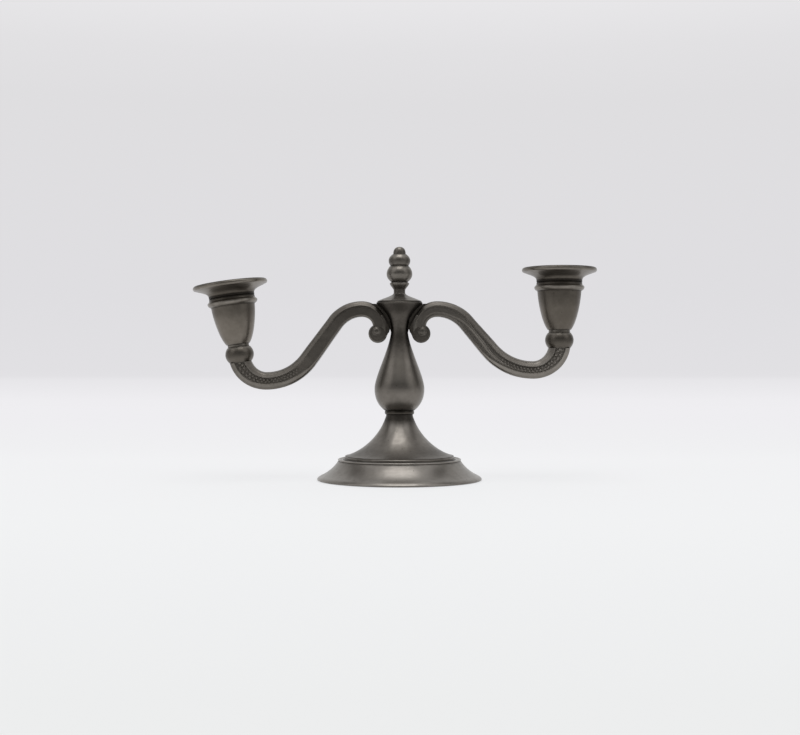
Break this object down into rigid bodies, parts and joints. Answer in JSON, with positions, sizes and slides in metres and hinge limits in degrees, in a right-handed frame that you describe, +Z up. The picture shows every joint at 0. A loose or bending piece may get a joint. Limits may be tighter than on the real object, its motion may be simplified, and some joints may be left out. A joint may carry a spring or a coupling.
{
  "type": "candelabra",
  "caption": "Small table candelabra in dark pewter: round stepped foot, baluster stem, S-shaped scroll arms, tapered cups with lift-out drip pans and a turned finial.",
  "frame": {"origin": "on the column's axis, at the surface the felt under the foot rests on", "axes": "+Z up along the column; the arms run along X, with the upright cup at +X and the leaning cup at -X; -Y faces the viewer"},
  "size_m": [0.2418, 0.0986, 0.1399],
  "materials": {
    "foot_pewter": "dark antiqued pewter, finely turned, satin",
    "stem_pewter": "dark antiqued pewter, finely turned, satin",
    "arm_pewter": "dark antiqued cast pewter, hand brushed, black in the recesses",
    "cup_pewter": "dark antiqued pewter, turned, satin with light wear on the edges",
    "steel_fixings": "zinc plated",
    "brass_insert": "plain turned",
    "fibre_board": "raw fibre board",
    "felt": "wool felt"
  },
  "bodies": {
    "candelabra": {"foot_skirt": "foot_pewter", "foot_bell": "foot_pewter", "waist_ring": "stem_pewter", "stem": "stem_pewter", "tie_rod": "steel_fixings", "clamp_plate": "steel_fixings", "tie_washer": "steel_fixings", "tie_nut": "steel_fixings", "base_board": "fibre_board", "base_felt": "felt", "arm_left": "arm_pewter", "arm_right": "arm_pewter", "arm_stud_left": "steel_fixings", "arm_stud_right": "steel_fixings", "arm_nut_left": "steel_fixings", "arm_nut_right": "steel_fixings", "knop_left": "cup_pewter", "knop_right": "cup_pewter", "cup_left": "cup_pewter", "cup_right": "cup_pewter", "cup_screw_left": "steel_fixings", "cup_screw_right": "steel_fixings"},
    "finial_thread": {"finial_insert": "brass_insert"},
    "finial": {"finial": "stem_pewter"},
    "nozzle_left": {"nozzle_left": "cup_pewter"},
    "nozzle_right": {"nozzle_right": "cup_pewter"}
  },
  "joints": [
    {"name": "finial_rise", "type": "slide", "parent": "candelabra", "child": "finial_thread", "axis": [0, 0, 1], "range_m": [0, 0.0049]},
    {"name": "finial_turn", "type": "hinge", "parent": "finial_thread", "child": "finial", "pos_m": [0, 0, 0.107], "axis": [0, 0, 1], "range_deg": [0, 2520]},
    {"name": "nozzle_left_lift", "type": "slide", "parent": "candelabra", "child": "nozzle_left", "axis": [-0.1357, 0, 0.9907], "range_m": [0, 0.018]},
    {"name": "nozzle_right_lift", "type": "slide", "parent": "candelabra", "child": "nozzle_right", "axis": [0, 0, 1], "range_m": [0, 0.018]}
  ],
  "couplings": [
    {"joint": "finial_turn", "follows": "finial_rise", "rad_per_m": 8975}
  ]
}
